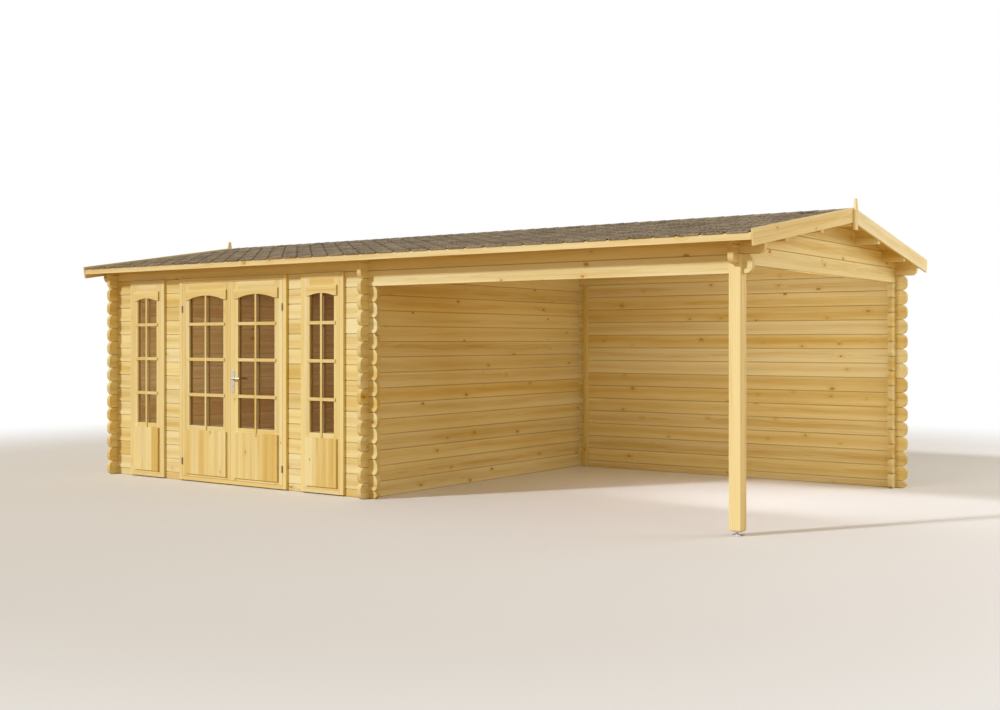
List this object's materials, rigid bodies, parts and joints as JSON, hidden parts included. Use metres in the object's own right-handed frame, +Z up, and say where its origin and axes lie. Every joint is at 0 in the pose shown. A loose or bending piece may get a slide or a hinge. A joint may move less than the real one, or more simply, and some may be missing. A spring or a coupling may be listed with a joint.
{
  "type": "log summer house with veranda",
  "caption": "Pine log summer house with a glazed double door, full-height side windows and an open veranda under a low shingled gable roof.",
  "frame": {"origin": "middle of the ground footprint, at ground level", "axes": "+X along the ridge towards the veranda, +Y from the door front to the back wall, +Z up"},
  "size_m": [7.4046, 3.962, 2.5129],
  "materials": {
    "log_pine": "planed pine logs",
    "board_pine": "planed pine boards",
    "roof_pine": "planed pine purlins and boarding",
    "floor_pine": "pine floor boards on bearers",
    "joinery_pine": "planed pine joinery",
    "glass": "clear glass",
    "bitumen_shingle": "mineral-coated bitumen shingles",
    "hinge_steel": "dark zinc-plated steel",
    "handle_steel": "satin steel",
    "foot_steel": "galvanised steel"
  },
  "bodies": {
    "house": {"left_wall": "log_pine", "partition_wall": "log_pine", "right_gable": "log_pine", "corner_stubs": "log_pine", "front_wall_left": "log_pine", "front_wall_door_left": "log_pine", "front_wall_door_right": "log_pine", "front_wall_right": "log_pine", "veranda_header": "log_pine", "front_plate": "log_pine", "back_wall_room": "log_pine", "back_wall_veranda": "log_pine", "back_plate": "log_pine", "joint_batten": "board_pine", "veranda_post": "board_pine", "fascia_boards": "board_pine", "left_barge_boards": "board_pine", "right_barge_boards": "board_pine", "finials": "board_pine", "ridge_purlin": "roof_pine", "side_purlins": "roof_pine", "roof_boards_front": "roof_pine", "roof_boards_rear": "roof_pine", "floor_bearers": "floor_pine", "room_floor": "floor_pine", "door_frame": "joinery_pine", "window_frames": "joinery_pine", "window_sashes": "joinery_pine", "window_boards": "joinery_pine", "window_glass": "glass", "shingles_front": "bitumen_shingle", "shingles_rear": "bitumen_shingle", "frame_hinges": "hinge_steel", "post_foot": "foot_steel"},
    "left_door": {"left_leaf": "joinery_pine", "left_leaf_boards": "joinery_pine", "left_leaf_glass": "glass", "left_leaf_hinges": "hinge_steel"},
    "right_door": {"right_leaf": "joinery_pine", "right_leaf_boards": "joinery_pine", "right_leaf_glass": "glass", "right_leaf_hinges": "hinge_steel", "handle_plates": "handle_steel"},
    "lever": {"lever_handle": "handle_steel"}
  },
  "joints": [
    {"name": "left_door_hinge", "type": "hinge", "parent": "house", "child": "left_door", "pos_m": [-2.39225, -1.777, 0], "axis": [0, 0, -1], "range_deg": [0, 160]},
    {"name": "right_door_hinge", "type": "hinge", "parent": "house", "child": "right_door", "pos_m": [-1.01175, -1.777, 0], "axis": [0, 0, 1], "range_deg": [0, 160]},
    {"name": "lever_turn", "type": "hinge", "parent": "right_door", "child": "lever", "pos_m": [-1.6685, -1.77, 1.012], "axis": [0, 1, 0], "range_deg": [0, 40], "stiffness_Nm_per_rad": 1, "springref_deg": -34.38}
  ]
}
